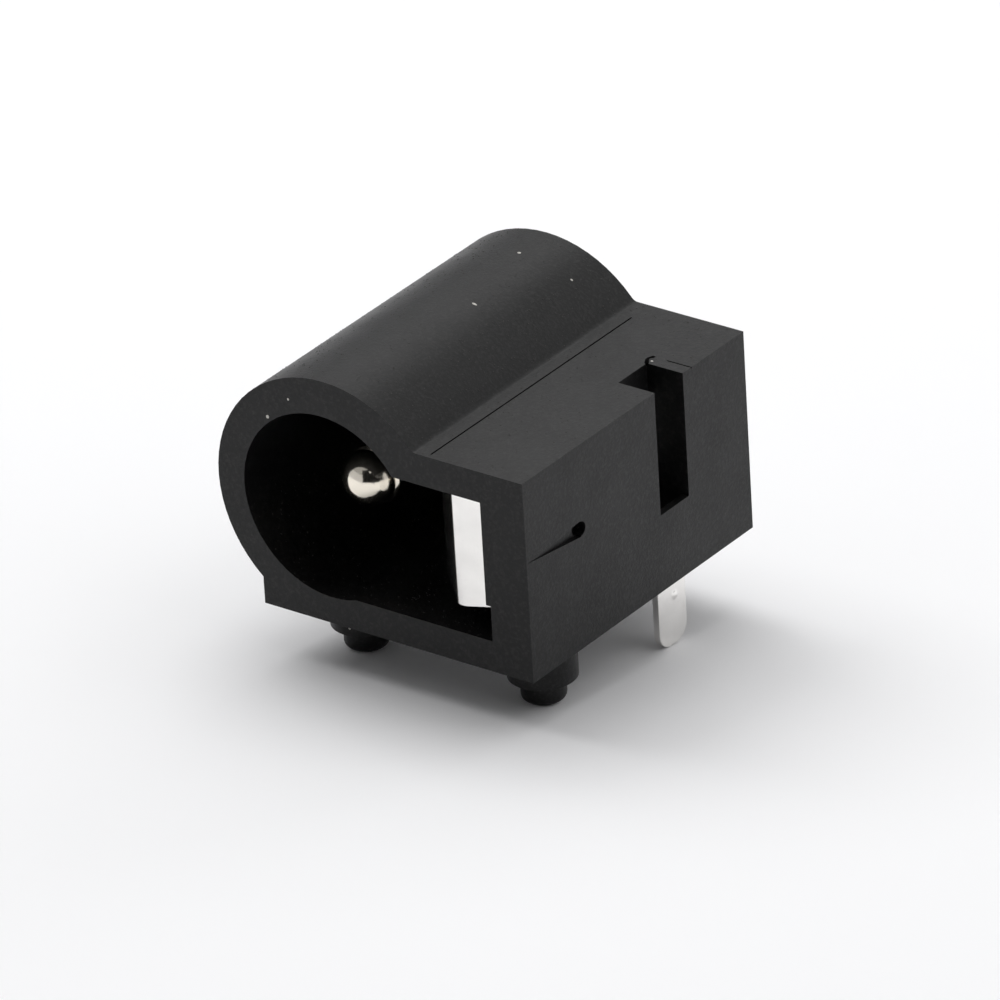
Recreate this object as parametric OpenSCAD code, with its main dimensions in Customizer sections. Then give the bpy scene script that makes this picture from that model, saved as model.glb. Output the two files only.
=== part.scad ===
// Board-mount dc barrel jack, switched, for plugs of 5.5 mm outside and 2.1 mm bore.
// A moulded body carries a turned centre pin with its rear terminal, a sprung sleeve
// contact down one side of the socket, and a fixed switch blade that the spring rests on.
// +Z is up off the board, the plug enters along +Y, and the origin lies on the board's
// surface under the barrel's axis, half way along the body.

/* [Body] */
// Length of the body from the mouth to the back face
body_len = 12.1; // [11.5:0.1:14]
// Height of the flat-topped box beside the barrel
box_h = 7.1; // [6.9:0.05:7.6]
// From the barrel's axis to the outer face of the box
axis_to_side = 7.85; // [7.75:0.05:9]
// From the barrel's axis to the outer edge of the foot
axis_to_foot = 2.75; // [1.5:0.05:3.2]
// Radius of the hollow fillet where the barrel meets the flat top
junction_r = 0.3; // [0.1:0.05:0.8]

/* [Barrel] */
// Height of the socket's axis above the board
axis_h = 4.2; // [4.15:0.05:4.5]
// Outside diameter of the barrel
barrel_d = 8.85; // [8.3:0.05:9.4]
// How far the barrel's outside lies off the socket's axis, sideways
barrel_off_x = 0.15; // [0:0.05:0.3]
// How far the barrel's outside lies above the socket's axis
barrel_off_z = 0.1; // [0:0.05:0.25]

/* [Socket] */
// Bore that takes the plug's sleeve
bore_d = 6.5; // [6:0.05:6.7]
// Depth of the socket from the mouth
socket_depth = 10.2; // [9.8:0.1:10.4]
// Thickness of the wall beside the contact
side_wall = 1.52; // [1.1:0.02:1.7]
// Thickness of the floor under the contact's bay
floor_t = 1.1; // [0.9:0.05:1.3]
// Thickness of the roof over the contact's bay
roof_t = 1.1; // [0.8:0.05:1.4]
// How far the front stop stands out from the side wall
stop_t = 0.18; // [0.1:0.02:0.25]
// How deep the front stop is, back from the mouth
stop_depth = 0.45; // [0.3:0.05:0.6]
// Height above the board where the front stop begins
stop_z = 2.35; // [1.5:0.05:3]

/* [Side slot] */
// From the mouth to the slot's near edge
slot_y = 7.17; // [6.5:0.05:8]
// Depth of the slot in from the side face
slot_depth = 1.4; // [1:0.05:1.48]
// Height of the sill at the slot's lower end
sill_z = 2.7; // [2.4:0.05:4]
// Height of the ledge that the contact's arm rests on, behind the sill
ledge_z = 1.45; // [1.2:0.05:1.7]

/* [Locating posts] */
// Distance between the two posts
post_pitch = 7; // [6:0.1:8]
// From the mouth to the posts
post_y = 2.15; // [1.5:0.05:3]
// From the box's side face in to the nearer post
post_inset = 1.25; // [1.2:0.05:2]
// Diameter of each post's shoulder
boss_d = 2.3; // [2:0.05:2.4]
// Length of the shoulder below the board seat
boss_len = 1; // [0.6:0.05:1.4]
// Diameter of the pilot below the shoulder
pilot_d = 1.5; // [1:0.05:1.8]
// Whole length of a post below the board seat
post_len = 1.85; // [1.5:0.05:2.6]
// Radius round the pilot's tip
pilot_round = 0.25; // [0.05:0.05:0.4]

/* [Centre pin] */
// Diameter of the centre pin
pin_d = 2; // [1.6:0.05:2.5]
// How far the pin's nose lies behind the mouth
pin_setback = 1.46; // [0.8:0.02:3]
// Diameter of the rounded nose
nose_d = 1.9; // [1.5:0.05:2.2]
// Width of the fine V-groove behind the nose
neck_w = 0.16; // [0.1:0.02:0.4]
// Diameter at the bottom of that groove
neck_d = 1.74; // [1.4:0.02:1.8]
// Diameter of the collar that seats on the socket's back wall
collar_d = 3; // [2.6:0.1:3.6]
// Thickness of that collar
collar_t = 0.3; // [0.2:0.05:0.6]
// Diameter of the tail through the back wall
tail_d = 1.4; // [1:0.05:1.5]
// Diameter of the riveted head behind the terminal
rivet_d = 2.1; // [1.7:0.05:2.3]
// Height of the riveted head
rivet_h = 0.35; // [0.2:0.05:0.5]

/* [Contacts] */
// Thickness of the stamped strip
strip_t = 0.25; // [0.2:0.01:0.3]
// Height of the sleeve contact's lower edge
strip_z = 1.9; // [1.8:0.05:2.2]
// Gap between the sleeve contact's upper edge and the roof
strip_top_gap = 0.15; // [0.05:0.05:0.4]
// How far behind the mouth the rolled nose of the sleeve contact lies
nose_setback = 0.3; // [0.25:0.05:0.8]
// From the socket's axis to the rolled nose
nose_x = 4.95; // [4.6:0.05:5.2]
// Angle that the front lip turns back from the mouth
lip_angle = 25; // [10:1:35]
// From the mouth to the crest that presses on the plug
crest_y = 3.4; // [2.8:0.1:4]
// From the socket's axis to the crest's face
press_r = 2.6; // [2.45:0.05:2.7]
// Radius of the rounded crest that presses on the plug
crest_r = 2; // [1:0.1:2.2]
// How far the sleeve contact's tail reaches into the back wall
tail_seat = 0.5; // [0.3:0.05:0.7]
// Length of the sleeve contact's end that lies flat on the switch blade
rest_len = 1.2; // [0.8:0.1:1.4]
// How far ahead of the blade that flat end begins
rest_lead = 0.4; // [0.2:0.05:0.6]
// Radius of the two bends at the rolled nose, along the strip's middle
lip_r = 0.35; // [0.3:0.01:0.4]
// Radius of the bend where the flat end begins
rest_r = 1; // [0.6:0.1:1.5]
// Width of each solder leg
leg_w = 1.5; // [1.2:0.05:1.6]
// How far the side leg lies inside the side face
leg_inset = 0.3; // [0.25:0.05:0.4]
// Length of the side and switch legs below the board seat
leg_len = 2.4; // [2:0.05:3.5]
// Length of the rear leg below the board seat
rear_leg_len = 2.7; // [2:0.05:3.8]
// Radius at the corners of a leg's tip
leg_round = 0.6; // [0.1:0.05:0.6]
// Diameter of the small raised dimple on the side leg
dimple_d = 0.4; // [0.2:0.05:0.6]
// Height of that dimple
dimple_h = 0.06; // [0.04:0.01:0.1]
// How far the dimple lies below the board seat
dimple_drop = 0.65; // [0.5:0.05:1]
// How far the dimple lies behind the middle of the leg
dimple_off = 0.1; // [0:0.05:0.3]
// Clearance round a strip in its slot
fit_gap = 0.03; // [0.02:0.01:0.05]
// From the mouth to the switch blade's near edge
blade_y = 7.6; // [7:0.05:8]
// Height of the switch blade's top
blade_top = 5; // [4.2:0.1:5.4]
// Clearance between the bore and the switch blade
blade_clear = 0.12; // [0.1:0.02:0.3]

/* [Rear terminal] */
// Width of the terminal plate
plate_w = 2.6; // [2.4:0.1:3]
// Thickness of the terminal plate
plate_t = 0.3; // [0.2:0.05:0.35]
// Depth of the recess in the back face
recess_depth = 0.7; // [0.6:0.05:0.9]
// Clearance round the plate in its recess
recess_gap = 0.25; // [0.1:0.05:0.4]
// Height at which the plate narrows to its leg
plate_step_z = 0.5; // [0.3:0.05:1]

/* [Surface detail] */
// From the barrel's junction to the fine mould line on the flat top
seam_off = 0.57; // [0.3:0.02:1]
// Width of the mould line
seam_w = 0.06; // [0.04:0.01:0.1]
// Depth of the mould line
seam_depth = 0.05; // [0.03:0.01:0.1]
// From the mouth to the near end of the mould line
seam_start = 0.2; // [0:0.1:1]
// From the back face to the far end of the mould line
seam_stop = 1; // [0:0.1:2]
// From the slot's far edge back to the line that the slot's core leaves on the flat top
core_off = 0.45; // [0.3:0.05:0.8]
// Length of that line, in from the side face
core_len = 0.95; // [0.4:0.05:1.4]
// Width of that line
core_w = 0.05; // [0.03:0.01:0.1]
// From the mouth to the gate mark in the side face
gate_y = 2.91; // [2:0.02:4]
// Height of the gate mark
gate_z = 4.18; // [3.5:0.01:5]
// Diameter of the gate mark's hole
gate_d = 0.5; // [0.3:0.05:0.8]
// Depth of the gate mark's hole
gate_depth = 0.4; // [0.2:0.05:0.6]
// Height of the gate runner's wedge where it meets the hole
runner_h = 0.56; // [0.3:0.02:0.8]
// Depth of the wedge where it meets the hole
runner_depth = 0.18; // [0.1:0.02:0.3]
// How far the wedge's point, at the mouth, lies above the hole's centre
runner_rise = 0.09; // [-0.2:0.01:0.2]

/* [Hidden] */
$fn = 96;
// overlap where two shapes join, and how far a cutter runs past a face
eps = 0.01;
over = 1;

barrel_r = barrel_d / 2;
bore_r = bore_d / 2;
barrel_z = axis_h + barrel_off_z;
roof_z = box_h - roof_t;
bay_x = axis_to_side - side_wall;
slot_x = axis_to_side - slot_depth;
// the slot takes the side leg's arm with the strips' clearance
slot_w = leg_w + 2 * fit_gap;
slot_end = slot_y + slot_w;
// where the barrel's circle passes through the level of the flat top
junction_x = barrel_off_x + sqrt(pow(barrel_r, 2) - pow(box_h - barrel_z, 2));
post_x = axis_to_side - post_inset;
recess_y = body_len - recess_depth;
plate_r = plate_w / 2;

// centre lines of the strips, from the faces that they seat on
base_x = bay_x - fit_gap - strip_t / 2;
strip_top = roof_z - strip_top_gap;
blade_x = bore_r + blade_clear + strip_t / 2;
rest_x = blade_x + strip_t + fit_gap;
leg_x = axis_to_side - leg_inset - strip_t / 2;
leg_y = slot_y + fit_gap;
arm_z = ledge_z + fit_gap + strip_t / 2;
tail_y = socket_depth + tail_seat;
// bends at the arm are tight enough to clear the ledge's square edge
arm_bend = strip_t / 2 + 3 * fit_gap;
// radius of a dome w wide and h high
function dome_r(w, h) = (pow(w / 2, 2) + pow(h, 2)) / (2 * h);

// ---- functions for bent strips ----
function unit(v) = v / norm(v);
function turn_to(a, b) = let (d = b - a) d > 180 ? d - 360 : d < -180 ? d + 360 : d;
// the corner of a path at b rounded to radius r, as n + 1 points
function bend(a, b, c, r, n = 8) =
    let (u = unit(a - b), v = unit(c - b), half = acos(u * v) / 2,
        m = b + unit(u + v) * r / sin(half),
        s = b + u * r / tan(half) - m, e = b + v * r / tan(half) - m,
        a0 = atan2(s[1], s[0]), sweep = turn_to(a0, atan2(e[1], e[0])))
    [for (i = [0:n]) m + r * [cos(a0 + sweep * i / n), sin(a0 + sweep * i / n)]];
// a whole path with every inner corner rounded by its own radius
function bent(p, r) = [p[0], for (i = [1:len(p) - 2]) each bend(p[i - 1], p[i], p[i + 1], r[i - 1]),
    p[len(p) - 1]];
// where a line from p touches the circle round c, on the side that s gives
function touch(p, c, r, s) = let (v = p - c, a = atan2(v[1], v[0]) + s * acos(r / norm(v)))
    c + r * [cos(a), sin(a)];
// the arc round c from a to b, without its two ends
function arc(c, r, a, b, n = 10) =
    let (a0 = atan2(a[1] - c[1], a[0] - c[0]),
        sweep = turn_to(a0, atan2(b[1] - c[1], b[0] - c[0])))
    [for (i = [1:n - 1]) c + r * [cos(a0 + sweep * i / n), sin(a0 + sweep * i / n)]];
// sideways direction at point i, scaled so that the strip keeps its thickness in a bend
function side(p, i) =
    let (n = len(p) - 1, a = unit(p[min(i + 1, n)] - p[min(i, n - 1)]),
        b = unit(p[max(i, 1)] - p[max(i - 1, 0)]), m = unit(a + b))
    [-m[1], m[0]] / (m * a);
// outline of a strip of thickness t along a centre line
function strip(p, t) = concat([for (i = [0:len(p) - 1]) p[i] + side(p, i) * t / 2],
    [for (i = [len(p) - 1:-1:0]) p[i] - side(p, i) * t / 2]);

// ---- helpers ----
// everything is drawn from the mouth, then moved so that the origin is half way back
module from_mouth() {
    translate([0, -body_len / 2, 0]) children();
}

// a profile in X and Z, run along Y from y0 to y1
module along_y(y0, y1) {
    translate([0, y1, 0]) rotate([90, 0, 0]) linear_extrude(y1 - y0) children();
}

// a profile in Y and Z, run along X from x0 to x1
module along_x(x0, x1) {
    translate([x0, 0, 0]) rotate([90, 0, 90]) linear_extrude(x1 - x0) children();
}

module block(x, y, z) {
    translate([x[0], y[0], z[0]]) cube([x[1] - x[0], y[1] - y[0], z[1] - z[0]]);
}

// a strip's face from its tip at z0 up to z1, with both corners of the tip rounded
module leg_face(y0, w, z0, z1) {
    translate([y0, z0 + leg_round]) square([w, z1 - z0 - leg_round]);
    translate([y0 + leg_round, z0]) square([w - 2 * leg_round, leg_round + eps]);
    for (y = [y0 + leg_round, y0 + w - leg_round])
        translate([y, z0 + leg_round]) circle(leg_round, $fn = 48);
}

// ---- housing ----
// barrel and box in section, with the fillet where they meet
module body_section() {
    fillet_z = box_h + junction_r;
    reach = barrel_r + junction_r;
    fillet_x = barrel_off_x + sqrt(pow(reach, 2) - pow(fillet_z - barrel_z, 2));
    touch = [barrel_off_x, barrel_z]
        + [fillet_x - barrel_off_x, fillet_z - barrel_z] * barrel_r / reach;
    intersection() {
        translate([barrel_off_x, barrel_z]) circle(barrel_r, $fn = 144);
        translate([-barrel_d, 0]) square([2 * barrel_d, 2 * barrel_d]);
    }
    translate([-axis_to_foot, 0]) square([axis_to_foot + barrel_off_x, axis_h / 2]);
    translate([barrel_off_x, 0]) square([axis_to_side - barrel_off_x, box_h]);
    difference() {
        polygon([[junction_x - junction_r, box_h - junction_r], [fillet_x, box_h - junction_r],
            [fillet_x, box_h], touch]);
        translate([fillet_x, fillet_z]) circle(junction_r, $fn = 48);
    }
}

// round bore that opens into the contact's bay
module socket_section() {
    translate([0, axis_h]) circle(bore_r, $fn = 144);
    translate([0, floor_t]) square([bay_x, roof_z - floor_t]);
}

// slot over the side and top, the pocket behind its sill, and the leg's shaft to the board
module side_slot() {
    block([slot_x, axis_to_side + over], [slot_y, slot_end], [sill_z, box_h + over]);
    block([bay_x - eps, axis_to_side + over], [slot_y, slot_end], [sill_z, roof_z]);
    block([bay_x - eps, leg_x + strip_t / 2 + fit_gap], [slot_y, slot_end], [ledge_z, sill_z + eps]);
    block([leg_x - strip_t / 2 - fit_gap, leg_x + strip_t / 2 + fit_gap],
        [slot_y, slot_end], [-over, ledge_z + eps]);
}

// post with a shoulder and a round-tipped pilot, hanging from the board seat
module post() {
    r = pilot_d / 2;
    c = r - pilot_round;
    rotate_extrude($fn = 72) {
        translate([0, -boss_len]) square([boss_d / 2, boss_len + floor_t / 2]);
        translate([0, pilot_round - post_len]) square([r, post_len - boss_len]);
        translate([0, -post_len]) square([c, pilot_round + eps]);
        intersection() {
            translate([c, pilot_round - post_len]) circle(pilot_round, $fn = 48);
            translate([0, -post_len]) square([r, pilot_round]);
        }
    }
}

// wedge that deepens from the mouth's edge to the gate's hole
module gate_mark() {
    angle = atan(runner_depth / gate_y);
    translate([axis_to_side - gate_depth, gate_y, gate_z]) rotate([0, 90, 0])
        cylinder(d = gate_d, h = gate_depth + over, $fn = 36);
    translate([axis_to_side, 0, gate_z]) rotate([0, 0, angle]) along_x(0, over)
        polygon([[-eps, runner_rise], [gate_y, -runner_h / 2], [gate_y, runner_h / 2]]);
}

module housing() {
    color([0.13, 0.13, 0.14]) from_mouth() {
        difference() {
            along_y(0, body_len) body_section();
            difference() {
                along_y(-over, socket_depth) socket_section();
                block([bay_x - stop_t, bay_x + over], [-2 * over, stop_depth], [stop_z, box_h]);
            }
            side_slot();
            gate_mark();
            // pocket in the back wall for the sleeve contact's tail
            block([base_x - strip_t / 2 - fit_gap, bay_x], [socket_depth - eps, tail_y + fit_gap],
                [strip_z - fit_gap, strip_top + fit_gap]);
            // slit in the floor for the switch blade
            block([blade_x - strip_t / 2 - fit_gap, blade_x + strip_t / 2 + fit_gap],
                [blade_y - fit_gap, blade_y + leg_w + fit_gap], [-over, floor_t + over]);
            // hole for the pin's tail, and the open recess for the rear terminal
            translate([0, 0, axis_h]) rotate([-90, 0, 0])
                cylinder(d = tail_d + 2 * fit_gap, h = body_len + over, $fn = 72);
            along_y(recess_y, body_len + over) {
                translate([0, axis_h]) circle(plate_r + recess_gap);
                translate([-plate_r - recess_gap, -over])
                    square([plate_w + 2 * recess_gap, axis_h + over]);
            }
            // mould line on the flat top beside the barrel, and the core's line behind the slot
            block([junction_x + seam_off, junction_x + seam_off + seam_w],
                [seam_start, body_len - seam_stop], [box_h - seam_depth, box_h + over]);
            block([axis_to_side - core_len, axis_to_side + over],
                [slot_end + core_off, slot_end + core_off + core_w],
                [box_h - seam_depth, box_h + over]);
        }
        for (x = [post_x - post_pitch, post_x]) translate([x, post_y, 0]) post();
    }
}

// ---- turned centre pin ----
module centre_pin() {
    nose_r = nose_d / 2;
    nose_c = pin_setback + nose_r;
    tail_end = recess_y + plate_t;
    head_r = dome_r(rivet_d, rivet_h);
    color([0.83, 0.80, 0.72]) from_mouth() translate([0, 0, axis_h]) rotate([-90, 0, 0])
        rotate_extrude($fn = 96) {
            intersection() {
                translate([0, nose_c]) circle(nose_r);
                translate([0, pin_setback]) square([nose_r, nose_r]);
            }
            // V-groove between the nose and the shaft
            polygon([[0, nose_c - eps], [neck_d / 2, nose_c - eps], [nose_r, nose_c],
                [neck_d / 2, nose_c + neck_w / 2], [pin_d / 2, nose_c + neck_w],
                [pin_d / 2, nose_c + neck_w + eps], [0, nose_c + neck_w + eps]]);
            translate([0, nose_c + neck_w]) square([pin_d / 2, socket_depth - nose_c - neck_w]);
            translate([0, socket_depth - collar_t]) square([collar_d / 2, collar_t]);
            translate([0, socket_depth - eps]) square([tail_d / 2, tail_end - socket_depth + 2 * eps]);
            // riveted head, a shallow dome
            intersection() {
                translate([0, tail_end + rivet_h - head_r]) circle(head_r);
                translate([0, tail_end]) square([rivet_d, rivet_h + over]);
            }
        }
}

// ---- stamped rear terminal ----
module centre_terminal() {
    color([0.80, 0.80, 0.79]) from_mouth() difference() {
        along_y(recess_y, recess_y + plate_t) {
            translate([0, axis_h]) circle(plate_r);
            translate([-plate_r, plate_step_z]) square([plate_w, axis_h - plate_step_z]);
            leg_face(-leg_w / 2, leg_w, -rear_leg_len, plate_step_z + eps);
        }
        translate([0, 0, axis_h]) rotate([-90, 0, 0])
            cylinder(d = tail_d + fit_gap, h = body_len + over, $fn = 72);
    }
}

// ---- sprung sleeve contact ----
// flat along the side wall, round the nose at the mouth, down the ramp to the crest that
// presses on the plug, and back out to rest flat on the switch blade
module sleeve_contact() {
    nose = [nose_x, nose_setback];
    corner = [base_x, nose_setback + (base_x - nose_x) * tan(lip_angle)];
    rest = [rest_x, blade_y - rest_lead];
    crest_c = [press_r + strip_t / 2 + crest_r, crest_y];
    crest_in = touch(nose, crest_c, crest_r, -1);
    crest_out = touch(rest, crest_c, crest_r, 1);
    path = concat(bent([[base_x, tail_y], corner, nose, crest_in], [lip_r, lip_r]),
        arc(crest_c, crest_r, crest_in, crest_out),
        bent([crest_out, rest, [rest_x, blade_y + rest_len]], [rest_r]));
    arm = [[base_x, strip_z + over], [base_x, arm_z], [leg_x, arm_z], [leg_x, -leg_len]];
    dimple_r = dome_r(dimple_d, dimple_h);
    color([0.88, 0.88, 0.87]) from_mouth() {
        translate([0, 0, strip_z]) linear_extrude(strip_top - strip_z)
            polygon(strip(path, strip_t));
        intersection() {
            along_y(leg_y, leg_y + leg_w) polygon(strip(bent(arm, [arm_bend, arm_bend]), strip_t));
            along_x(base_x - over, axis_to_side + over) leg_face(leg_y, leg_w, -leg_len, box_h);
        }
        // raised dimple that holds the leg in its board hole, rooted half way into the strip
        translate([leg_x + strip_t / 2, leg_y + leg_w / 2 + dimple_off, -dimple_drop])
            rotate([0, 90, 0]) rotate_extrude($fn = 48) intersection() {
                translate([0, dimple_h - dimple_r]) circle(dimple_r);
                translate([0, -strip_t / 2]) square([dimple_d / 2, strip_t / 2 + dimple_h]);
            }
    }
}

// ---- fixed switch blade ----
module switch_contact() {
    color([0.80, 0.80, 0.79]) from_mouth()
        along_x(blade_x - strip_t / 2, blade_x + strip_t / 2)
            leg_face(blade_y, leg_w, -leg_len, blade_top);
}

housing();
centre_pin();
centre_terminal();
sleeve_contact();
switch_contact();
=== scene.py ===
# %% [markdown]
# # A board-mount power socket, dressed for its picture
# The object is a small moulded socket that is soldered to a circuit board. It is about 12 mm
# across, and its construction is already fixed: five solid pieces arrive from the packed
# frame, at their real size and place. This lesson adds what the eye needs: rounded mould
# edges, a turned pin, plated metal, matt plastic, dust, a floor, light and a camera.
# The work is done in millimetres and scaled to metres at the end of each piece, because
# Blender's bevel and merge tools have fixed small limits that suit millimetres better.

# %% Load the frame
import math

import bmesh
import bpy
from mathutils import Matrix, Vector


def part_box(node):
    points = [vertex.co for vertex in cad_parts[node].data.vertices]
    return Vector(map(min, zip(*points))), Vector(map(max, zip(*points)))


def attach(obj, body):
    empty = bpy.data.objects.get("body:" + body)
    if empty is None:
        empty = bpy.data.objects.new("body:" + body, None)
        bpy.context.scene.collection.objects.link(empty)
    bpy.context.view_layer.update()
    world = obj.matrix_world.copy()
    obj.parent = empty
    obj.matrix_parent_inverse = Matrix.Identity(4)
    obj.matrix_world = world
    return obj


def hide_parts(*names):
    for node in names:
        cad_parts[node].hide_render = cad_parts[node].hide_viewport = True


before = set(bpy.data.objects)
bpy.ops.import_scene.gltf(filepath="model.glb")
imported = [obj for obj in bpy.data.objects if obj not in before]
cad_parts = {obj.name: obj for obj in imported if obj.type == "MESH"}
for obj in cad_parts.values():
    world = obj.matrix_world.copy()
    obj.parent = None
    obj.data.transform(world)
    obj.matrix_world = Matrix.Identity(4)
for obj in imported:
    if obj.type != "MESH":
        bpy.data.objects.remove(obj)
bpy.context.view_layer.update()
MM = 0.001
print("nodes:", ", ".join(sorted(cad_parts)))

# %% [markdown]
# ## Landmarks
# The softened pieces, the pin and the floor take their places from the solids, so a changed body
# moves them too. The camera's aim, the torn curl and the stray grains are given.
# The housing's box gives the mouth. The tips of the two locating posts and of the rear leg
# are what the part stands on, and they don't reach equally low:
# off its board the part leans forward by about five degrees. A floor that is level with the
# part would leave the posts in the air, so the floor takes the lean instead.

# %% Landmarks
body_low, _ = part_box("housing")
pin_low, pin_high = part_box("centre_pin")
mouth_y = body_low.y
pin_axis = Vector(((pin_low.x + pin_high.x) / 2, 0, (pin_low.z + pin_high.z) / 2))
TIP_DEPTH = 0.02 * MM


def tip(node):
    """Middle of the lowest points of a node."""
    points = [v.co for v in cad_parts[node].data.vertices]
    lowest = min(p.z for p in points)
    found = [p for p in points if p.z < lowest + TIP_DEPTH]
    return sum(found, Vector()) / len(found)


def floor_under(front, rear):
    """Up direction of a floor that runs level across X and touches both tips."""
    along = Vector((0, rear.y - front.y, rear.z - front.z)).normalized()
    return Vector((1, 0, 0)).cross(along).normalized()


floor_up = floor_under(tip("housing"), tip("centre_terminal"))
floor_level = min(floor_up.dot(v.co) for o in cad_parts.values() for v in o.data.vertices)
print("lean of the part in degrees:", round(math.degrees(math.atan2(floor_up.y, floor_up.z)), 2))

# %% [markdown]
# ## Camera
# Small parts are shown through a long lens from a third of a metre away, which keeps the
# far edges nearly as long as the near ones. The camera stands level over the leaning floor,
# to the right of the mouth. It could be aimed with a constraint, but a plain rotation
# worked out from the view direction is easier to read and exports as it is. The Standard
# view transform shows each colour as it is written, where a filmic one would grey the whites.

# %% Camera
VIEW_TURN = math.radians(36.05)
VIEW_RISE = math.radians(23.65)
VIEW_DISTANCE = 373.3 * MM
VIEW_ANGLE = math.radians(4.888)
AIM = Vector((3.342, -1.349, 3.191)) * MM


def look_from(turn, rise):
    """Unit vector from the object to the camera, turn and rise counted over the floor."""
    ahead = floor_up.cross(Vector((1, 0, 0))).normalized()
    level = Vector((1, 0, 0)) * math.sin(turn) - ahead * math.cos(turn)
    return level * math.cos(rise) + floor_up * math.sin(rise)


def upright(back, up):
    """Rotation that looks against back with up at the top of the frame."""
    right = up.cross(back).normalized()
    top = back.cross(right).normalized()
    return Matrix((right, top, back)).transposed().to_quaternion()


camera = bpy.data.objects.new("camera", bpy.data.cameras.new("camera"))
bpy.context.scene.collection.objects.link(camera)
view_back = look_from(VIEW_TURN, VIEW_RISE)
camera.location = AIM + view_back * VIEW_DISTANCE
camera.rotation_mode = "QUATERNION"
camera.rotation_quaternion = upright(view_back, floor_up)
camera.data.sensor_width = 36
camera.data.lens = camera.data.sensor_width / 2 / math.tan(VIEW_ANGLE / 2)
camera.data.clip_start = 50 * MM
camera.data.clip_end = 20
bpy.context.scene.camera = camera
bpy.context.scene.view_settings.view_transform = "Standard"
print("lens in mm:", round(camera.data.lens, 1))

# %% [markdown]
# ## Helpers for node materials
# Each finish is a small tree: something that varies over the surface drives colour,
# roughness and bump. The helpers keep those trees short. Noise reads Object coordinates,
# so a grain stays the same size on every piece, and sizes are given as millimetres of grain.

# %% Helpers for node materials
def new_finish(name, colour, **sockets):
    """A material with one Principled shader, its constant values set on its own sockets."""
    material = bpy.data.materials.new(name)
    material.use_nodes = True
    tree = material.node_tree
    shader = tree.nodes["Principled BSDF"]
    shader.inputs["Base Color"].default_value = (*colour, 1)
    for socket, value in sockets.items():
        shader.inputs[socket.replace("_", " ")].default_value = value
    material.diffuse_color = (*colour, 1)
    return material, tree, shader


def grain(tree, size, detail=3.0, stretch=(1, 1, 1), roughness=0.55):
    """Noise whose lumps are about size millimetres, stretched along an axis if asked."""
    place = tree.nodes.new("ShaderNodeTexCoord")
    scale = tree.nodes.new("ShaderNodeMapping")
    scale.inputs["Scale"].default_value = [1 / (size * MM * s) for s in stretch]
    noise = tree.nodes.new("ShaderNodeTexNoise")
    noise.inputs["Scale"].default_value = 1
    noise.inputs["Detail"].default_value = detail
    noise.inputs["Roughness"].default_value = roughness
    tree.links.new(place.outputs["Object"], scale.inputs["Vector"])
    tree.links.new(scale.outputs["Vector"], noise.inputs["Vector"])
    return noise.outputs["Fac"]


def spread(tree, value, low, high, source=(0.3, 0.7)):
    """Maps a noise value to the range low..high."""
    node = tree.nodes.new("ShaderNodeMapRange")
    node.inputs["From Min"].default_value, node.inputs["From Max"].default_value = source
    node.inputs["To Min"].default_value, node.inputs["To Max"].default_value = low, high
    tree.links.new(value, node.inputs["Value"])
    return node.outputs["Result"]


def tint(tree, value, low, high):
    """Mixes two colours by a value from 0 to 1."""
    ramp = tree.nodes.new("ShaderNodeValToRGB")
    ramp.color_ramp.elements[0].color = (*low, 1)
    ramp.color_ramp.elements[1].color = (*high, 1)
    tree.links.new(value, ramp.inputs["Fac"])
    return ramp.outputs["Color"]


def raise_surface(tree, shader, *layers):
    """Chains bump layers of (value, height in mm, strength) into the shader's normal."""
    normal = None
    for value, height, strength in layers:
        bump = tree.nodes.new("ShaderNodeBump")
        bump.inputs["Distance"].default_value = height * MM
        bump.inputs["Strength"].default_value = strength
        tree.links.new(value, bump.inputs["Height"])
        if normal:
            tree.links.new(normal, bump.inputs["Normal"])
        normal = bump.outputs["Normal"]
    tree.links.new(normal, shader.inputs["Normal"])


# %% [markdown]
# ## Matt moulded plastic
# The body is glass-filled black plastic from a spark-eroded mould, so it has a fine, even
# grain with no direction. Real black plastic isn't pure black: it keeps one or two percent
# of the light, and most of what is seen is the white room in its skin. The colour therefore
# stays very dark and the skin is weak and broad. A second, coarser noise gives the faint
# clouds that a mould's flow leaves.

# %% Matt moulded plastic
def moulded_black():
    """Matt black plastic with spark-eroded grain."""
    finish, tree, shader = new_finish(
        "moulded_black", (0.004, 0.004, 0.0042), Specular_IOR_Level=0.31, IOR=1.45)
    cloud = grain(tree, 1.6, detail=4)
    specks = grain(tree, 0.13, detail=4, roughness=0.7)
    fine = grain(tree, 0.06, detail=2)
    patches = spread(tree, specks, 0, 1, source=(0.48, 0.72))
    darkest, palest = (0.0030, 0.0030, 0.0032), (0.0170, 0.0165, 0.0165)
    tree.links.new(tint(tree, patches, darkest, palest), shader.inputs["Base Color"])
    tree.links.new(spread(tree, cloud, 0.37, 0.45), shader.inputs["Roughness"])
    raise_surface(tree, shader, (specks, 0.018, 0.5), (fine, 0.004, 0.5))
    return finish


BLACK = moulded_black()
print("finish:", BLACK.name)

# %% [markdown]
# ## Plated metals
# Three platings show. The pin is turned brass under nickel: warm, bright, with the fine
# rings that the tool leaves. The contact spring and the legs are stamped strip under tin:
# cooler and softer, with faint lines along the direction in which the strip was rolled.
# One function makes them all, because they differ only in tone, gloss and lay.

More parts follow.
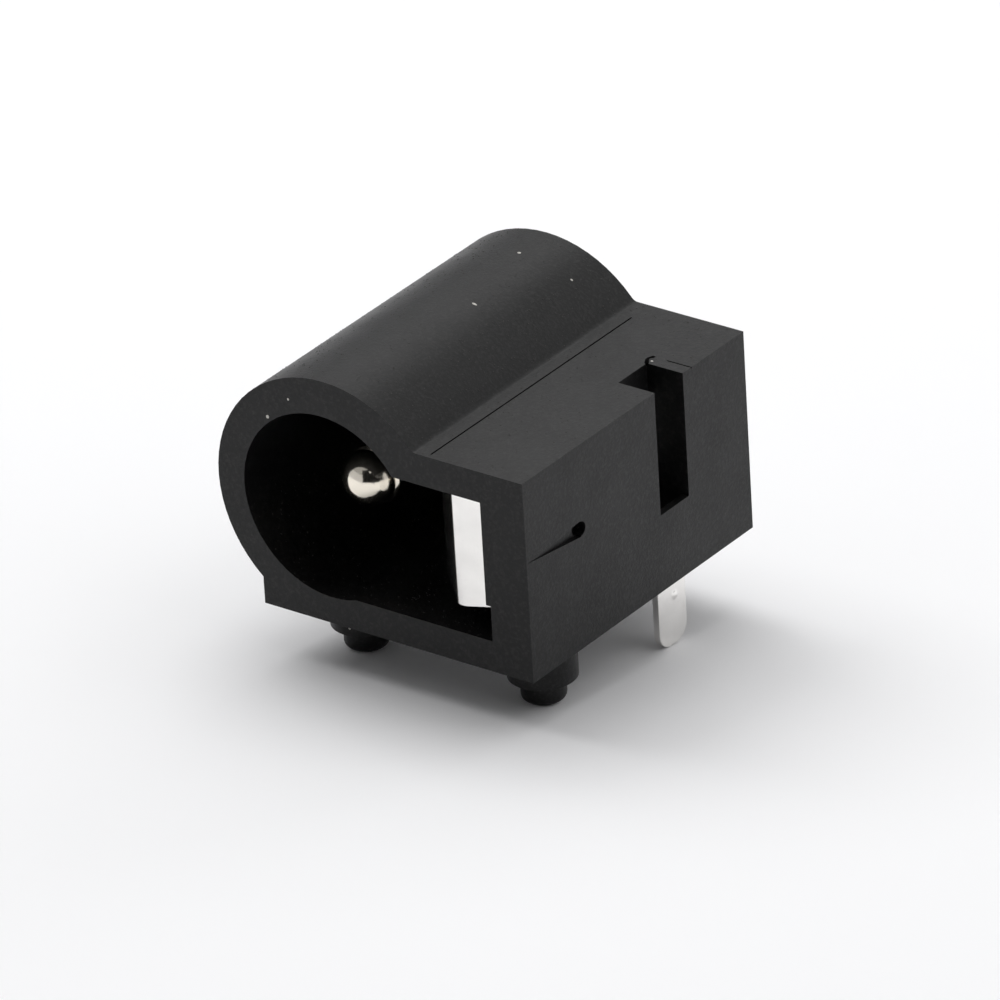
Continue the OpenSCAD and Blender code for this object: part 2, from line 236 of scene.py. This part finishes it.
# %% Plated metals
def plated(name, colour, gloss, lay, line_depth, dent=0.0):
    """Plated metal with a lay: fine lines along the axis where lay is long, and soft dents."""
    finish, tree, shader = new_finish(name, colour, Metallic=1.0)
    lines = grain(tree, 0.05, detail=3, stretch=lay)
    cloud = grain(tree, 0.9, detail=3)
    darker = [0.9 * c for c in colour]
    tone = tint(tree, spread(tree, cloud, 0, 1), darker, colour)
    tree.links.new(tone, shader.inputs["Base Color"])
    tree.links.new(spread(tree, lines, gloss * 0.8, gloss * 1.35), shader.inputs["Roughness"])
    dents = grain(tree, 0.5, detail=2)
    raise_surface(tree, shader, (dents, dent, 0.5), (lines, line_depth, 0.5))
    return finish


NICKEL = plated("turned_nickel", (0.93, 0.87, 0.76), gloss=0.12,
                lay=(12, 1, 12), line_depth=0.002, dent=0.02)
BRIGHT_TIN = plated("bright_tin", (0.98, 0.965, 0.94), gloss=0.15,
                    lay=(1, 14, 1), line_depth=0.002)
SATIN_TIN = plated("satin_tin", (0.98, 0.965, 0.945), gloss=0.50,
                   lay=(1, 1, 14), line_depth=0.003)
print("finishes:", NICKEL.name, BRIGHT_TIN.name, SATIN_TIN.name)

# %% [markdown]
# ## Softened pieces
# A steel mould and a punch both leave edges with a small radius, and that thin line of
# light along an edge is what tells the eye that a part is real. The solids have sharp
# edges. The bevel could be faked in the shader, but then the silhouette stays sharp and
# the exported mesh knows nothing of it. So each solid is copied, its loose triangles are
# welded into whole faces, and a real bevel is cut along the edges that turn sharply. The
# shading weights its normals by face size, which keeps large faces flat up to the edge.

# %% Softened pieces
WELD_GAP = 0.0005  # mm
FLAT_TURN = math.radians(0.3)
EDGE_TURN = math.radians(32)


def welded(node):
    """A CAD node's triangles as one closed mesh of whole faces, in millimetres."""
    shape = bmesh.new()
    shape.from_mesh(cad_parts[node].data)
    bmesh.ops.scale(shape, vec=Vector((1, 1, 1)) / MM, verts=shape.verts)
    bmesh.ops.remove_doubles(shape, verts=shape.verts, dist=WELD_GAP)
    bmesh.ops.dissolve_limit(
        shape, angle_limit=FLAT_TURN, verts=shape.verts, edges=shape.edges)
    return shape


def settle(piece, finish, body="root"):
    """Turns a piece and its modifiers into a plain mesh in metres, and rides it on its body."""
    graph = bpy.context.evaluated_depsgraph_get()
    mesh = bpy.data.meshes.new_from_object(piece.evaluated_get(graph), depsgraph=graph)
    piece.modifiers.clear()
    mesh.name = piece.name
    mesh.transform(Matrix.Scale(MM, 4))
    mesh.materials.clear()
    mesh.materials.append(finish)
    piece.data = mesh
    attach(piece, body)
    triangles = sum(len(p.vertices) - 2 for p in mesh.polygons)
    print(f"{piece.name}: {triangles} triangles, {finish.name}")
    return piece


def softened(node, name, edge_radius, finish, turns=3):
    """A bevelled copy of a CAD node, which stands in its place."""
    mesh = bpy.data.meshes.new(name)
    shape = welded(node)
    shape.to_mesh(mesh)
    shape.free()
    mesh.shade_smooth()
    piece = bpy.data.objects.new(name, mesh)
    bpy.context.scene.collection.objects.link(piece)
    bevel = piece.modifiers.new("edge_radius", "BEVEL")
    bevel.width = edge_radius
    bevel.segments = turns
    bevel.limit_method = "ANGLE"
    bevel.angle_limit = EDGE_TURN
    bevel.miter_outer = "MITER_ARC"
    flat = piece.modifiers.new("flat_faces", "WEIGHTED_NORMAL")
    flat.weight = 90
    settle(piece, finish)
    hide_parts(node)
    return piece


softened("housing", "housing_moulding", 0.05, BLACK)
softened("sleeve_contact", "sleeve_spring", 0.03, BRIGHT_TIN)
softened("switch_contact", "switch_blade", 0.03, SATIN_TIN)
softened("centre_terminal", "rear_terminal", 0.03, SATIN_TIN)

# %% [markdown]
# ## The turned pin
# A lathe makes the pin: a blank spins and a tool follows an outline. The same idea builds
# the mesh. The outline is a line of stations, each a distance along the axis and a radius,
# and a node tree spins it: it lays the stations on the axis, gives each its radius, and
# sweeps a circle along them. One tree serves any turned piece, because only the outline
# changes. Stations at a shoulder lie a hair apart, which leaves the small chamfer of a
# real edge.

# %% The outline of the pin
SOCKET_DEPTH = 10.2  # mm from the mouth to the wall that holds the pin


def pin_outline():
    """Stations (along the axis, radius) from the nose to the riveted head, in millimetres."""
    nose, shaft, collar, tail, head = 0.95, 1.0, 1.5, 0.7, 1.05
    start, end = pin_low.y / MM, pin_high.y / MM
    groove = start + nose
    seat = SOCKET_DEPTH + mouth_y / MM
    collar_length, dome, hair = 0.3, 0.35, 0.02
    behind = end - dome
    neck = [(0.02, nose - 0.01), (0.08, 0.87), (0.14, shaft - 0.02), (0.18, shaft)]
    nose_steps, dome_steps, plain = 12, 6, 1.5
    stations = []
    for step in range(1, nose_steps + 1):
        turn = math.radians(90) * step / nose_steps
        stations.append((groove - nose * math.cos(turn), nose * math.sin(turn)))
    stations += [(groove + along, radius) for along, radius in neck]
    stations += [(groove + plain, shaft), (seat - plain, shaft)]
    front = seat - collar_length
    stations += [(front - hair, shaft), (front, collar - hair), (front + hair, collar)]
    stations += [(seat - hair, collar), (seat, tail + hair), (seat + hair, tail)]
    stations += [(behind - hair, tail), (behind, head)]
    for step in range(1, dome_steps):
        turn = math.radians(90) * step / dome_steps
        stations.append((behind + dome * math.sin(turn), head * math.cos(turn)))
    return stations


outline = pin_outline()
print("stations on the pin:", len(outline))

# %% [markdown]
# The tree itself has few nodes. The stations come in as a bare line of points that already
# lie on the axis, each with its radius as an attribute. Mesh to Curve makes the line a
# path, Curve to Mesh sweeps a circle of radius one along it, and its Scale input reads
# the attribute, so the sweep swells and shrinks as the outline says.

# %% A lathe in nodes
def socket_id(group, name):
    """Identifier of a group's named input, which a modifier's value is stored under."""
    sockets = group.interface.items_tree
    return next(i.identifier for i in sockets if i.name == name and i.in_out == "INPUT")


def lathe_group():
    """Node tree that spins a line of stations about the line itself."""
    group = bpy.data.node_groups.new("lathe", "GeometryNodeTree")
    face = group.interface
    face.new_socket("Stations", in_out="INPUT", socket_type="NodeSocketGeometry")
    face.new_socket("Sides", in_out="INPUT", socket_type="NodeSocketInt").default_value = 64
    face.new_socket("Finish", in_out="INPUT", socket_type="NodeSocketMaterial")
    face.new_socket("Turned", in_out="OUTPUT", socket_type="NodeSocketGeometry")
    given = group.nodes.new("NodeGroupInput")
    path = group.nodes.new("GeometryNodeMeshToCurve")
    circle = group.nodes.new("GeometryNodeCurvePrimitiveCircle")
    circle.inputs["Radius"].default_value = 1
    radius = group.nodes.new("GeometryNodeInputNamedAttribute")
    radius.data_type = "FLOAT"
    radius.inputs["Name"].default_value = "radius_here"
    sweep = group.nodes.new("GeometryNodeCurveToMesh")
    sweep.inputs["Fill Caps"].default_value = True
    realize = group.nodes.new("GeometryNodeRealizeInstances")
    dress = group.nodes.new("GeometryNodeSetMaterial")
    result = group.nodes.new("NodeGroupOutput")
    link = group.links.new
    link(given.outputs["Stations"], path.inputs["Mesh"])
    link(given.outputs["Sides"], circle.inputs["Resolution"])
    link(path.outputs["Curve"], sweep.inputs["Curve"])
    link(circle.outputs["Curve"], sweep.inputs["Profile Curve"])
    link(radius.outputs["Attribute"], sweep.inputs["Scale"])
    link(sweep.outputs["Mesh"], realize.inputs["Geometry"])
    link(realize.outputs["Geometry"], dress.inputs["Geometry"])
    link(given.outputs["Finish"], dress.inputs["Material"])
    link(dress.outputs["Geometry"], result.inputs["Turned"])
    return group


CREASE = math.radians(50)


def swept(name, points, radii, finish, sides=96):
    """A round piece from a line of points in millimetres, each with its radius."""
    mesh = bpy.data.meshes.new(name)
    mesh.from_pydata(points, [(i, i + 1) for i in range(len(points) - 1)], [])
    radius = mesh.attributes.new("radius_here", "FLOAT", "POINT")
    radius.data.foreach_set("value", radii)
    piece = bpy.data.objects.new(name, mesh)
    bpy.context.scene.collection.objects.link(piece)
    spin = piece.modifiers.new("lathe", "NODES")
    spin.node_group = LATHE
    spin[socket_id(LATHE, "Sides")] = sides
    spin[socket_id(LATHE, "Finish")] = finish
    settle(piece, finish)
    shape = bmesh.new()
    shape.from_mesh(piece.data)
    bmesh.ops.recalc_face_normals(shape, faces=shape.faces)
    shape.to_mesh(piece.data)
    shape.free()
    piece.data.shade_smooth()
    piece.data.set_sharp_from_angle(angle=CREASE)
    return piece


LATHE = lathe_group()
axis_points = [(pin_axis.x / MM, along, pin_axis.z / MM) for along, _ in outline]
pin = swept("turned_pin", axis_points, [radius for _, radius in outline], NICKEL)
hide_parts("centre_pin")

# %% [markdown]
# ## A torn edge
# Where the slot's core left the mould, it tore a small curl of plastic at the slot's inner back
# corner. The curl is a short tapered hook, so the same tree sweeps it: only the line bends now,
# and its radius runs out to a point. It gets a near-black matt finish without gloss that looks
# darker than the body. This is painted shade, standing for the shade that lies at this corner.

# %% A torn edge
def painted_shade_plastic():
    """Near-black plastic without gloss, darker than the body: painted shade for the torn corner.
    """
    # near-black colour and almost no gloss: painted shade at the slot's corner
    finish, tree, shader = new_finish(
        "painted_shade_plastic", (0.002, 0.002, 0.002), Specular_IOR_Level=0.02)
    fibres = grain(tree, 0.03, detail=2, stretch=(1, 1, 4))
    tree.links.new(spread(tree, fibres, 0.8, 1.0), shader.inputs["Roughness"])
    raise_surface(tree, shader, (fibres, 0.006, 0.6))
    return finish


SLOT_CORNER = Vector((6.45, 2.68, 7.08))
CURL_LIFT = 0.01  # mm above the corner
curl_steps = [
    (0.03, -0.04), (-0.03, 0.04), (-0.10, 0.15), (-0.15, 0.27),
    (-0.13, 0.38), (-0.07, 0.46), (-0.02, 0.52),
]
curl_radii = [0.05, 0.08, 0.07, 0.05, 0.04, 0.05, 0.015]
curl_points = [tuple(SLOT_CORNER + Vector((x, y, CURL_LIFT))) for x, y in curl_steps]
# the curl's dark finish is painted shade
swept("torn_curl", curl_points, curl_radii, painted_shade_plastic(), sides=12)

# %% [markdown]
# ## Settled dust
# Black plastic shows every grain of dust, and a few pale grains give the eye its scale.
# Dust lands at random but only on faces that look up, which is a rule, so a node tree
# scatters it: points on the housing's upper faces, a flat flake on each, every flake with
# its own size. A fixed seed keeps each render the same. Flakes are set half into the
# surface and none lies on the crest, so the part's height stays that of the solid.

# %% Settled dust
LEAST_UP = 0.3  # how far a face looks up before dust stays on it
FLAKE_SHAPE = (1.3, 1.0, 0.5)


def dust_group():
    """Node tree that scatters flakes over the faces of a surface that look up."""
    group = bpy.data.node_groups.new("dust", "GeometryNodeTree")
    face = group.interface
    face.new_socket("Surface", in_out="INPUT", socket_type="NodeSocketGeometry")
    usual = {"Density": 4.0, "Smallest": 0.008, "Largest": 0.03, "Highest": 8.7}
    for name, value in usual.items():
        face.new_socket(name, in_out="INPUT", socket_type="NodeSocketFloat").default_value = value
    face.new_socket("Seed", in_out="INPUT", socket_type="NodeSocketInt").default_value = 7
    face.new_socket("Finish", in_out="INPUT", socket_type="NodeSocketMaterial")
    face.new_socket("Dust", in_out="OUTPUT", socket_type="NodeSocketGeometry")
    new, link = group.nodes.new, group.links.new
    given, result = new("NodeGroupInput"), new("NodeGroupOutput")
    normal, up = new("GeometryNodeInputNormal"), new("ShaderNodeSeparateXYZ")
    looks_up = new("FunctionNodeCompare")
    looks_up.operation = "GREATER_THAN"
    looks_up.inputs["B"].default_value = LEAST_UP
    link(normal.outputs["Normal"], up.inputs["Vector"])
    link(up.outputs["Z"], looks_up.inputs["A"])
    scatter = new("GeometryNodeDistributePointsOnFaces")
    link(given.outputs["Surface"], scatter.inputs["Mesh"])
    link(looks_up.outputs["Result"], scatter.inputs["Selection"])
    link(given.outputs["Density"], scatter.inputs["Density"])
    link(given.outputs["Seed"], scatter.inputs["Seed"])
    place, height = new("GeometryNodeInputPosition"), new("ShaderNodeSeparateXYZ")
    too_high = new("FunctionNodeCompare")
    too_high.operation = "GREATER_THAN"
    link(place.outputs["Position"], height.inputs["Vector"])
    link(height.outputs["Z"], too_high.inputs["A"])
    link(given.outputs["Highest"], too_high.inputs["B"])
    keep = new("GeometryNodeDeleteGeometry")
    link(scatter.outputs["Points"], keep.inputs["Geometry"])
    link(too_high.outputs["Result"], keep.inputs["Selection"])
    grain_ball, flake = new("GeometryNodeMeshIcoSphere"), new("GeometryNodeTransform")
    grain_ball.inputs["Radius"].default_value = 1
    grain_ball.inputs["Subdivisions"].default_value = 2
    flake.inputs["Scale"].default_value = FLAKE_SHAPE
    link(grain_ball.outputs["Mesh"], flake.inputs["Geometry"])
    size = new("FunctionNodeRandomValue")
    size.data_type = "FLOAT"
    link(given.outputs["Smallest"], size.inputs[2])
    link(given.outputs["Largest"], size.inputs[3])
    link(given.outputs["Seed"], size.inputs["Seed"])
    strew = new("GeometryNodeInstanceOnPoints")
    link(keep.outputs["Geometry"], strew.inputs["Points"])
    link(flake.outputs["Geometry"], strew.inputs["Instance"])
    link(scatter.outputs["Rotation"], strew.inputs["Rotation"])
    link(size.outputs["Value"], strew.inputs["Scale"])
    realize, dress = new("GeometryNodeRealizeInstances"), new("GeometryNodeSetMaterial")
    link(strew.outputs["Instances"], realize.inputs["Geometry"])
    link(realize.outputs["Geometry"], dress.inputs["Geometry"])
    link(given.outputs["Finish"], dress.inputs["Material"])
    link(dress.outputs["Geometry"], result.inputs["Dust"])
    return group


def pale_dust(name, colour):
    """Dry matt dust whose tone varies a little from grain to grain."""
    finish, tree, shader = new_finish(name, colour, Specular_IOR_Level=0.1)
    patch = grain(tree, 0.08, detail=2)
    darker = [0.6 * c for c in colour]
    tone = tint(tree, spread(tree, patch, 0, 1), darker, colour)
    tree.links.new(tone, shader.inputs["Base Color"])
    tree.links.new(spread(tree, patch, 0.8, 1.0), shader.inputs["Roughness"])
    raise_surface(tree, shader, (patch, 0.004, 0.5))
    return finish


def dusted(name, node, density, smallest, largest, seed, finish):
    """Scattered dust over a CAD node's upper faces, as one piece."""
    mesh = bpy.data.meshes.new(name)
    shape = welded(node)
    shape.to_mesh(mesh)
    shape.free()
    piece = bpy.data.objects.new(name, mesh)
    bpy.context.scene.collection.objects.link(piece)
    strew = piece.modifiers.new("dust", "NODES")
    strew.node_group = DUST
    highest = max(v.co.z for v in mesh.vertices) - largest / 2
    values = {
        "Density": density, "Smallest": smallest, "Largest": largest,
        "Highest": highest, "Seed": seed,
    }
    for socket, value in values.items():
        strew[socket_id(DUST, socket)] = value
    strew[socket_id(DUST, "Finish")] = finish
    settle(piece, finish)
    piece.data.shade_smooth()
    return piece


DUST = dust_group()
GREY_DUST = pale_dust("grey_dust", (0.075, 0.073, 0.07))
dusted("fine_dust", "housing", density=9.0, smallest=0.008, largest=0.026, seed=7,
       finish=GREY_DUST)

# %% [markdown]
# ## Stray grains
# A few large grains are seen one by one, so they are listed: two on the barrel, a fibre beside
# them, two on the mouth's rim, one by the torn corner and one on a post. Each is a small
# flattened ball turned to the surface under it. A rule would not help here, because there are
# seven of them and each has its own place.

# %% Stray grains
# place in mm, the surface's normal, length and width in mm
STRAY = [
    ((0.28, 4.42, 8.717), (0.03, 0, 1), 0.07, 0.06),
    ((2.25, 4.53, 8.19), (0.50, 0, 0.86), 0.05, 0.04),
    ((1.07, 0.89, 8.63), (0.24, 0, 0.97), 0.10, 0.05),
    ((-2.12, -6.05, 6.88), (0, -1, 0), 0.065, 0.06),
    ((-1.24, -6.05, 7.73), (0, -1, 0), 0.045, 0.04),
    ((6.51, 2.88, 7.10), (0, 0, 1), 0.05, 0.04),
    ((-0.19, -5.03, -0.71), (0.15, -0.99, 0), 0.05, 0.04),
]


GRAIN_THICKNESS = 0.008  # mm


def stray_grains(name, grains, finish):
    """Single grains as one piece, each set into the surface under it."""
    shape = bmesh.new()
    for place, normal, length, width in grains:
        turn = Vector(normal).to_track_quat("Z", "X").to_matrix().to_4x4()
        size = Matrix.Diagonal((length, width, GRAIN_THICKNESS, 1))
        lie = Matrix.Translation(place) @ turn @ size
        bmesh.ops.create_icosphere(shape, subdivisions=2, radius=1, matrix=lie)
    mesh = bpy.data.meshes.new(name)
    shape.to_mesh(mesh)
    shape.free()
    mesh.shade_smooth()
    piece = bpy.data.objects.new(name, mesh)
    bpy.context.scene.collection.objects.link(piece)
    return settle(piece, finish)


WHITE_DUST = pale_dust("white_dust", (0.75, 0.73, 0.68))
stray_grains("stray_grains", STRAY, WHITE_DUST)

# %% [markdown]
# ## Floor
# The floor is a wide pale disc that curves up at its rim, so every view sees the same pale
# surface. Its colour is what makes the background nearly white: the lamps stay at the
# level at which the object's own colours come out as they are written.

# %% Floor
def pale_floor():
    """Plain matt paper, a little cool."""
    finish, _, _ = new_finish(
        "pale_paper", (0.93, 0.93, 0.94), Roughness=0.9, Specular_IOR_Level=0.1)
    return finish


def floor_disc(flat=0.7, rise=0.5, sides=96, steps=14):
    """A disc that turns up at its rim, tangent to the plane that the part stands on."""
    ahead = floor_up.cross(Vector((1, 0, 0))).normalized()
    across = ahead.cross(floor_up).normalized()
    centre = floor_up * floor_level
    rings = [(flat * share, 0.0) for share in (0.0, 0.02, 0.1, 0.4, 1.0)]
    for step in range(1, steps + 1):
        turn = math.radians(90) * step / steps
        rings.append((flat + rise * math.sin(turn), rise * (1 - math.cos(turn))))
    shape = bmesh.new()
    loops = []
    for out, up in rings[1:]:
        loop = []
        for side in range(sides):
            turn = 2 * math.pi * side / sides
            place = across * (out * math.cos(turn)) + ahead * (out * math.sin(turn))
            loop.append(shape.verts.new(centre + place + floor_up * up))
        loops.append(loop)
    middle = shape.verts.new(centre)
    for side in range(sides):
        shape.faces.new((middle, loops[0][side], loops[0][(side + 1) % sides]))
        for inner, outer in zip(loops, loops[1:]):
            after = (side + 1) % sides
            shape.faces.new((inner[side], outer[side], outer[after], inner[after]))
    mesh = bpy.data.meshes.new("floor")
    shape.to_mesh(mesh)
    shape.free()
    mesh.shade_smooth()
    floor = bpy.data.objects.new("floor", mesh)
    bpy.context.scene.collection.objects.link(floor)
    mesh.materials.append(pale_floor())
    return floor


floor_disc()
print("floor level in mm:", round(floor_level / MM, 3))

# %% [markdown]
# ## Light
# Small glossy things are shot under several soft boxes rather than one lamp. Black plastic
# and bright metal show little of their own: what is seen is the boxes in their skin, so
# each box has a job. The one to the left of the camera lights the floor and throws the
# part's shadow to the right. The one overhead fills the shadow, and the ones behind lie in
# the flat top, in the barrel and in the side face. A black card stands in front, which
# holds the front face back and leaves the pin dark between its highlights; the camera
# itself looks through the card. One small lamp beside the lens puts the spark on the pin.

# %% Light
ROOM_LEVEL = 0.33
SOFT_BOXES = [
    # name, turn, rise, level
    ("left_box", 270, 48, 0.37),
    ("overhead_box", 216, 78, 0.29),
    ("back_box", 222, 48, 0.16),
    ("low_back_box", 180, 18, 0.18),
    ("right_back_box", 135, 48, 0.09),
    ("right_box", 90, 48, 0.05),
]


def dim_room(level):
    """World of plain white walls, dimmer than the boxes."""
    world = bpy.data.worlds.new("room")
    bpy.context.scene.world = world
    world.use_nodes = True
    background = world.node_tree.nodes["Background"]
    background.inputs["Color"].default_value = (1, 1, 1, 1)
    background.inputs["Strength"].default_value = level


def soft_box(name, turn, rise, level, distance=0.8, size=0.5):
    """Square lamp that faces the part; level is about the light on a sheet that faces it."""
    data = bpy.data.lights.new(name, "AREA")
    data.shape = "SQUARE"
    data.size = size
    data.energy = level * math.pi ** 2 * distance ** 2
    back = look_from(math.radians(turn), math.radians(rise))
    lamp = bpy.data.objects.new(name, data)
    lamp.location = AIM + back * distance
    lamp.rotation_mode = "QUATERNION"
    lamp.rotation_quaternion = back.to_track_quat("Z", "Y")
    bpy.context.scene.collection.objects.link(lamp)
    return lamp


def dark_card(turn, rise, distance, width, height):
    """Black card in front of the part, which only light and reflections see."""
    mesh = bpy.data.meshes.new("dark_card")
    x, y = width / 2, height / 2
    mesh.from_pydata([(-x, -y, 0), (x, -y, 0), (x, y, 0), (-x, y, 0)], [], [(3, 2, 1, 0)])
    finish, _, _ = new_finish(
        "black_card", (0.01, 0.01, 0.01), Roughness=1.0, Specular_IOR_Level=0.0)
    mesh.materials.append(finish)
    back = look_from(math.radians(turn), math.radians(rise))
    card = bpy.data.objects.new("dark_card", mesh)
    card.location = AIM + back * distance
    card.rotation_mode = "QUATERNION"
    card.rotation_quaternion = back.to_track_quat("Z", "Y")
    card.visible_camera = False
    bpy.context.scene.collection.objects.link(card)
    return card


dim_room(ROOM_LEVEL)
dark_card(turn=36, rise=24, distance=0.30, width=0.42, height=0.30)
soft_box("spark", 30, 42, 0.004, distance=0.25, size=0.025)
for name, turn, rise, level in SOFT_BOXES:
    soft_box(name, turn, rise, level)
